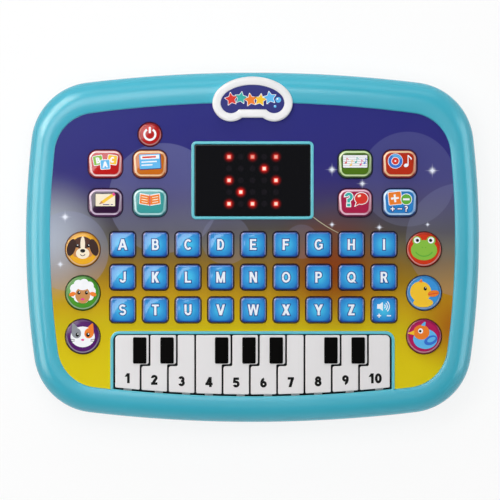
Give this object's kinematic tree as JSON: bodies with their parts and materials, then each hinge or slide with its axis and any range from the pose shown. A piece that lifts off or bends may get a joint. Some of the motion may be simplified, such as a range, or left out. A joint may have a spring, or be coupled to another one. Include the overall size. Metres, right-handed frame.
{
  "type": "toy learning tablet",
  "caption": "Flat teal toy tablet that lies on its back: letter keys, piano keys, function and animal buttons, a power button, a dot-matrix window and a battery bay.",
  "frame": {"origin": "centre of the bounding box at its bottom: the plane on which the four feet rest", "axes": "+X across the face towards the last piano key, +Y up the face towards the badge, +Z out of the face"},
  "size_m": [0.2396, 0.1848, 0.0309],
  "materials": {
    "housing_plastic": "satin moulded teal",
    "white_plastic": "satin moulded white",
    "blue_plastic": "glossy blue",
    "red_plastic": "glossy red",
    "orange_plastic": "glossy orange",
    "yellow_plastic": "glossy yellow",
    "green_plastic": "glossy green",
    "purple_plastic": "glossy purple",
    "pink_plastic": "glossy pink",
    "sky_plastic": "glossy light blue",
    "smoked_window": "polished smoked acrylic",
    "mat_rubber": "grey silicone",
    "board_laminate": "paper laminate"
  },
  "bodies": {
    "housing": {"front_housing": "housing_plastic", "rear_housing": "housing_plastic", "battery_tub": "housing_plastic", "badge": "white_plastic", "screen_lens": "smoked_window", "key_mat": "mat_rubber", "main_board": "board_laminate"},
    "battery_door": {"battery_door": "housing_plastic"},
    "letter_key_a": {"letter_key_a": "blue_plastic"},
    "letter_key_b": {"letter_key_b": "blue_plastic"},
    "letter_key_c": {"letter_key_c": "blue_plastic"},
    "letter_key_d": {"letter_key_d": "blue_plastic"},
    "letter_key_e": {"letter_key_e": "blue_plastic"},
    "letter_key_f": {"letter_key_f": "blue_plastic"},
    "letter_key_g": {"letter_key_g": "blue_plastic"},
    "letter_key_h": {"letter_key_h": "blue_plastic"},
    "letter_key_i": {"letter_key_i": "blue_plastic"},
    "letter_key_j": {"letter_key_j": "blue_plastic"},
    "letter_key_k": {"letter_key_k": "blue_plastic"},
    "letter_key_l": {"letter_key_l": "blue_plastic"},
    "letter_key_m": {"letter_key_m": "blue_plastic"},
    "letter_key_n": {"letter_key_n": "blue_plastic"},
    "letter_key_o": {"letter_key_o": "blue_plastic"},
    "letter_key_p": {"letter_key_p": "blue_plastic"},
    "letter_key_q": {"letter_key_q": "blue_plastic"},
    "letter_key_r": {"letter_key_r": "blue_plastic"},
    "letter_key_s": {"letter_key_s": "blue_plastic"},
    "letter_key_t": {"letter_key_t": "blue_plastic"},
    "letter_key_u": {"letter_key_u": "blue_plastic"},
    "letter_key_v": {"letter_key_v": "blue_plastic"},
    "letter_key_w": {"letter_key_w": "blue_plastic"},
    "letter_key_x": {"letter_key_x": "blue_plastic"},
    "letter_key_y": {"letter_key_y": "blue_plastic"},
    "letter_key_z": {"letter_key_z": "blue_plastic"},
    "volume_key": {"volume_key": "blue_plastic"},
    "function_button_letter": {"function_button_letter": "red_plastic"},
    "function_button_word": {"function_button_word": "orange_plastic"},
    "function_button_song": {"function_button_song": "green_plastic"},
    "function_button_music": {"function_button_music": "orange_plastic"},
    "function_button_spell": {"function_button_spell": "purple_plastic"},
    "function_button_read": {"function_button_read": "green_plastic"},
    "function_button_question": {"function_button_question": "pink_plastic"},
    "function_button_number": {"function_button_number": "blue_plastic"},
    "animal_button_dog": {"animal_button_dog": "yellow_plastic"},
    "animal_button_sheep": {"animal_button_sheep": "green_plastic"},
    "animal_button_cat": {"animal_button_cat": "purple_plastic"},
    "animal_button_frog": {"animal_button_frog": "orange_plastic"},
    "animal_button_duck": {"animal_button_duck": "sky_plastic"},
    "animal_button_bird": {"animal_button_bird": "pink_plastic"},
    "power_button": {"power_button": "red_plastic"},
    "piano_key_1": {"piano_key_1": "white_plastic"},
    "piano_key_2": {"piano_key_2": "white_plastic"},
    "piano_key_3": {"piano_key_3": "white_plastic"},
    "piano_key_4": {"piano_key_4": "white_plastic"},
    "piano_key_5": {"piano_key_5": "white_plastic"},
    "piano_key_6": {"piano_key_6": "white_plastic"},
    "piano_key_7": {"piano_key_7": "white_plastic"},
    "piano_key_8": {"piano_key_8": "white_plastic"},
    "piano_key_9": {"piano_key_9": "white_plastic"},
    "piano_key_10": {"piano_key_10": "white_plastic"}
  },
  "joints": [
    {"name": "letter_key_a_press", "type": "slide", "parent": "housing", "child": "letter_key_a", "axis": [0, 0, -1], "range_m": [0, 0.0011], "stiffness_N_per_m": 600, "springref_m": -0.0005},
    {"name": "letter_key_b_press", "type": "slide", "parent": "housing", "child": "letter_key_b", "axis": [0, 0, -1], "range_m": [0, 0.0011], "stiffness_N_per_m": 600, "springref_m": -0.0005},
    {"name": "letter_key_c_press", "type": "slide", "parent": "housing", "child": "letter_key_c", "axis": [0, 0, -1], "range_m": [0, 0.0011], "stiffness_N_per_m": 600, "springref_m": -0.0005},
    {"name": "letter_key_d_press", "type": "slide", "parent": "housing", "child": "letter_key_d", "axis": [0, 0, -1], "range_m": [0, 0.0011], "stiffness_N_per_m": 600, "springref_m": -0.0005},
    {"name": "letter_key_e_press", "type": "slide", "parent": "housing", "child": "letter_key_e", "axis": [0, 0, -1], "range_m": [0, 0.0011], "stiffness_N_per_m": 600, "springref_m": -0.0005},
    {"name": "letter_key_f_press", "type": "slide", "parent": "housing", "child": "letter_key_f", "axis": [0, 0, -1], "range_m": [0, 0.0011], "stiffness_N_per_m": 600, "springref_m": -0.0005},
    {"name": "letter_key_g_press", "type": "slide", "parent": "housing", "child": "letter_key_g", "axis": [0, 0, -1], "range_m": [0, 0.0011], "stiffness_N_per_m": 600, "springref_m": -0.0005},
    {"name": "letter_key_h_press", "type": "slide", "parent": "housing", "child": "letter_key_h", "axis": [0, 0, -1], "range_m": [0, 0.0011], "stiffness_N_per_m": 600, "springref_m": -0.0005},
    {"name": "letter_key_i_press", "type": "slide", "parent": "housing", "child": "letter_key_i", "axis": [0, 0, -1], "range_m": [0, 0.0011], "stiffness_N_per_m": 600, "springref_m": -0.0005},
    {"name": "letter_key_j_press", "type": "slide", "parent": "housing", "child": "letter_key_j", "axis": [0, 0, -1], "range_m": [0, 0.0011], "stiffness_N_per_m": 600, "springref_m": -0.0005},
    {"name": "letter_key_k_press", "type": "slide", "parent": "housing", "child": "letter_key_k", "axis": [0, 0, -1], "range_m": [0, 0.0011], "stiffness_N_per_m": 600, "springref_m": -0.0005},
    {"name": "letter_key_l_press", "type": "slide", "parent": "housing", "child": "letter_key_l", "axis": [0, 0, -1], "range_m": [0, 0.0011], "stiffness_N_per_m": 600, "springref_m": -0.0005},
    {"name": "letter_key_m_press", "type": "slide", "parent": "housing", "child": "letter_key_m", "axis": [0, 0, -1], "range_m": [0, 0.0011], "stiffness_N_per_m": 600, "springref_m": -0.0005},
    {"name": "letter_key_n_press", "type": "slide", "parent": "housing", "child": "letter_key_n", "axis": [0, 0, -1], "range_m": [0, 0.0011], "stiffness_N_per_m": 600, "springref_m": -0.0005},
    {"name": "letter_key_o_press", "type": "slide", "parent": "housing", "child": "letter_key_o", "axis": [0, 0, -1], "range_m": [0, 0.0011], "stiffness_N_per_m": 600, "springref_m": -0.0005},
    {"name": "letter_key_p_press", "type": "slide", "parent": "housing", "child": "letter_key_p", "axis": [0, 0, -1], "range_m": [0, 0.0011], "stiffness_N_per_m": 600, "springref_m": -0.0005},
    {"name": "letter_key_q_press", "type": "slide", "parent": "housing", "child": "letter_key_q", "axis": [0, 0, -1], "range_m": [0, 0.0011], "stiffness_N_per_m": 600, "springref_m": -0.0005},
    {"name": "letter_key_r_press", "type": "slide", "parent": "housing", "child": "letter_key_r", "axis": [0, 0, -1], "range_m": [0, 0.0011], "stiffness_N_per_m": 600, "springref_m": -0.0005},
    {"name": "letter_key_s_press", "type": "slide", "parent": "housing", "child": "letter_key_s", "axis": [0, 0, -1], "range_m": [0, 0.0011], "stiffness_N_per_m": 600, "springref_m": -0.0005},
    {"name": "letter_key_t_press", "type": "slide", "parent": "housing", "child": "letter_key_t", "axis": [0, 0, -1], "range_m": [0, 0.0011], "stiffness_N_per_m": 600, "springref_m": -0.0005},
    {"name": "letter_key_u_press", "type": "slide", "parent": "housing", "child": "letter_key_u", "axis": [0, 0, -1], "range_m": [0, 0.0011], "stiffness_N_per_m": 600, "springref_m": -0.0005},
    {"name": "letter_key_v_press", "type": "slide", "parent": "housing", "child": "letter_key_v", "axis": [0, 0, -1], "range_m": [0, 0.0011], "stiffness_N_per_m": 600, "springref_m": -0.0005},
    {"name": "letter_key_w_press", "type": "slide", "parent": "housing", "child": "letter_key_w", "axis": [0, 0, -1], "range_m": [0, 0.0011], "stiffness_N_per_m": 600, "springref_m": -0.0005},
    {"name": "letter_key_x_press", "type": "slide", "parent": "housing", "child": "letter_key_x", "axis": [0, 0, -1], "range_m": [0, 0.0011], "stiffness_N_per_m": 600, "springref_m": -0.0005},
    {"name": "letter_key_y_press", "type": "slide", "parent": "housing", "child": "letter_key_y", "axis": [0, 0, -1], "range_m": [0, 0.0011], "stiffness_N_per_m": 600, "springref_m": -0.0005},
    {"name": "letter_key_z_press", "type": "slide", "parent": "housing", "child": "letter_key_z", "axis": [0, 0, -1], "range_m": [0, 0.0011], "stiffness_N_per_m": 600, "springref_m": -0.0005},
    {"name": "volume_key_press", "type": "slide", "parent": "housing", "child": "volume_key", "axis": [0, 0, -1], "range_m": [0, 0.0011], "stiffness_N_per_m": 600, "springref_m": -0.0005},
    {"name": "function_button_letter_press", "type": "slide", "parent": "housing", "child": "function_button_letter", "axis": [0, 0, -1], "range_m": [0, 0.0011], "stiffness_N_per_m": 600, "springref_m": -0.0005},
    {"name": "function_button_word_press", "type": "slide", "parent": "housing", "child": "function_button_word", "axis": [0, 0, -1], "range_m": [0, 0.0011], "stiffness_N_per_m": 600, "springref_m": -0.0005},
    {"name": "function_button_song_press", "type": "slide", "parent": "housing", "child": "function_button_song", "axis": [0, 0, -1], "range_m": [0, 0.0011], "stiffness_N_per_m": 600, "springref_m": -0.0005},
    {"name": "function_button_music_press", "type": "slide", "parent": "housing", "child": "function_button_music", "axis": [0, 0, -1], "range_m": [0, 0.0011], "stiffness_N_per_m": 600, "springref_m": -0.0005},
    {"name": "function_button_spell_press", "type": "slide", "parent": "housing", "child": "function_button_spell", "axis": [0, 0, -1], "range_m": [0, 0.0011], "stiffness_N_per_m": 600, "springref_m": -0.0005},
    {"name": "function_button_read_press", "type": "slide", "parent": "housing", "child": "function_button_read", "axis": [0, 0, -1], "range_m": [0, 0.0011], "stiffness_N_per_m": 600, "springref_m": -0.0005},
    {"name": "function_button_question_press", "type": "slide", "parent": "housing", "child": "function_button_question", "axis": [0, 0, -1], "range_m": [0, 0.0011], "stiffness_N_per_m": 600, "springref_m": -0.0005},
    {"name": "function_button_number_press", "type": "slide", "parent": "housing", "child": "function_button_number", "axis": [0, 0, -1], "range_m": [0, 0.0011], "stiffness_N_per_m": 600, "springref_m": -0.0005},
    {"name": "animal_button_dog_press", "type": "slide", "parent": "housing", "child": "animal_button_dog", "axis": [0, 0, -1], "range_m": [0, 0.0011], "stiffness_N_per_m": 600, "springref_m": -0.0005},
    {"name": "animal_button_sheep_press", "type": "slide", "parent": "housing", "child": "animal_button_sheep", "axis": [0, 0, -1], "range_m": [0, 0.0011], "stiffness_N_per_m": 600, "springref_m": -0.0005},
    {"name": "animal_button_cat_press", "type": "slide", "parent": "housing", "child": "animal_button_cat", "axis": [0, 0, -1], "range_m": [0, 0.0011], "stiffness_N_per_m": 600, "springref_m": -0.0005},
    {"name": "animal_button_frog_press", "type": "slide", "parent": "housing", "child": "animal_button_frog", "axis": [0, 0, -1], "range_m": [0, 0.0011], "stiffness_N_per_m": 600, "springref_m": -0.0005},
    {"name": "animal_button_duck_press", "type": "slide", "parent": "housing", "child": "animal_button_duck", "axis": [0, 0, -1], "range_m": [0, 0.0011], "stiffness_N_per_m": 600, "springref_m": -0.0005},
    {"name": "animal_button_bird_press", "type": "slide", "parent": "housing", "child": "animal_button_bird", "axis": [0, 0, -1], "range_m": [0, 0.0011], "stiffness_N_per_m": 600, "springref_m": -0.0005},
    {"name": "power_button_press", "type": "slide", "parent": "housing", "child": "power_button", "axis": [0, 0, -1], "range_m": [0, 0.0011], "stiffness_N_per_m": 600, "springref_m": -0.0005},
    {"name": "piano_key_1_press", "type": "hinge", "parent": "housing", "child": "piano_key_1", "pos_m": [-0.06603, -0.0436, 0.0229], "axis": [1, 0, 0], "range_deg": [0, 2.1], "stiffness_Nm_per_rad": 0.7, "springref_deg": -0.72},
    {"name": "piano_key_2_press", "type": "hinge", "parent": "housing", "child": "piano_key_2", "pos_m": [-0.04952, -0.0436, 0.0229], "axis": [1, 0, 0], "range_deg": [0, 2.1], "stiffness_Nm_per_rad": 0.7, "springref_deg": -0.72},
    {"name": "piano_key_3_press", "type": "hinge", "parent": "housing", "child": "piano_key_3", "pos_m": [-0.0351, -0.0436, 0.0229], "axis": [1, 0, 0], "range_deg": [0, 2.1], "stiffness_Nm_per_rad": 0.7, "springref_deg": -0.72},
    {"name": "piano_key_4_press", "type": "hinge", "parent": "housing", "child": "piano_key_4", "pos_m": [-0.02303, -0.0436, 0.0229], "axis": [1, 0, 0], "range_deg": [0, 2.1], "stiffness_Nm_per_rad": 0.7, "springref_deg": -0.72},
    {"name": "piano_key_5_press", "type": "hinge", "parent": "housing", "child": "piano_key_5", "pos_m": [-0.00626, -0.0436, 0.0229], "axis": [1, 0, 0], "range_deg": [0, 2.1], "stiffness_Nm_per_rad": 0.7, "springref_deg": -0.72},
    {"name": "piano_key_6_press", "type": "hinge", "parent": "housing", "child": "piano_key_6", "pos_m": [0.00816, -0.0436, 0.0229], "axis": [1, 0, 0], "range_deg": [0, 2.1], "stiffness_Nm_per_rad": 0.7, "springref_deg": -0.72},
    {"name": "piano_key_7_press", "type": "hinge", "parent": "housing", "child": "piano_key_7", "pos_m": [0.02258, -0.0436, 0.0229], "axis": [1, 0, 0], "range_deg": [0, 2.1], "stiffness_Nm_per_rad": 0.7, "springref_deg": -0.72},
    {"name": "piano_key_8_press", "type": "hinge", "parent": "housing", "child": "piano_key_8", "pos_m": [0.03465, -0.0436, 0.0229], "axis": [1, 0, 0], "range_deg": [0, 2.1], "stiffness_Nm_per_rad": 0.7, "springref_deg": -0.72},
    {"name": "piano_key_9_press", "type": "hinge", "parent": "housing", "child": "piano_key_9", "pos_m": [0.05142, -0.0436, 0.0229], "axis": [1, 0, 0], "range_deg": [0, 2.1], "stiffness_Nm_per_rad": 0.7, "springref_deg": -0.72},
    {"name": "piano_key_10_press", "type": "hinge", "parent": "housing", "child": "piano_key_10", "pos_m": [0.06698, -0.0436, 0.0229], "axis": [1, 0, 0], "range_deg": [0, 2.1], "stiffness_Nm_per_rad": 0.7, "springref_deg": -0.72},
    {"name": "battery_door_hinge", "type": "hinge", "parent": "housing", "child": "battery_door", "pos_m": [0, 0.02235, 0.0024], "axis": [1, 0, 0], "range_deg": [0, 90]}
  ]
}
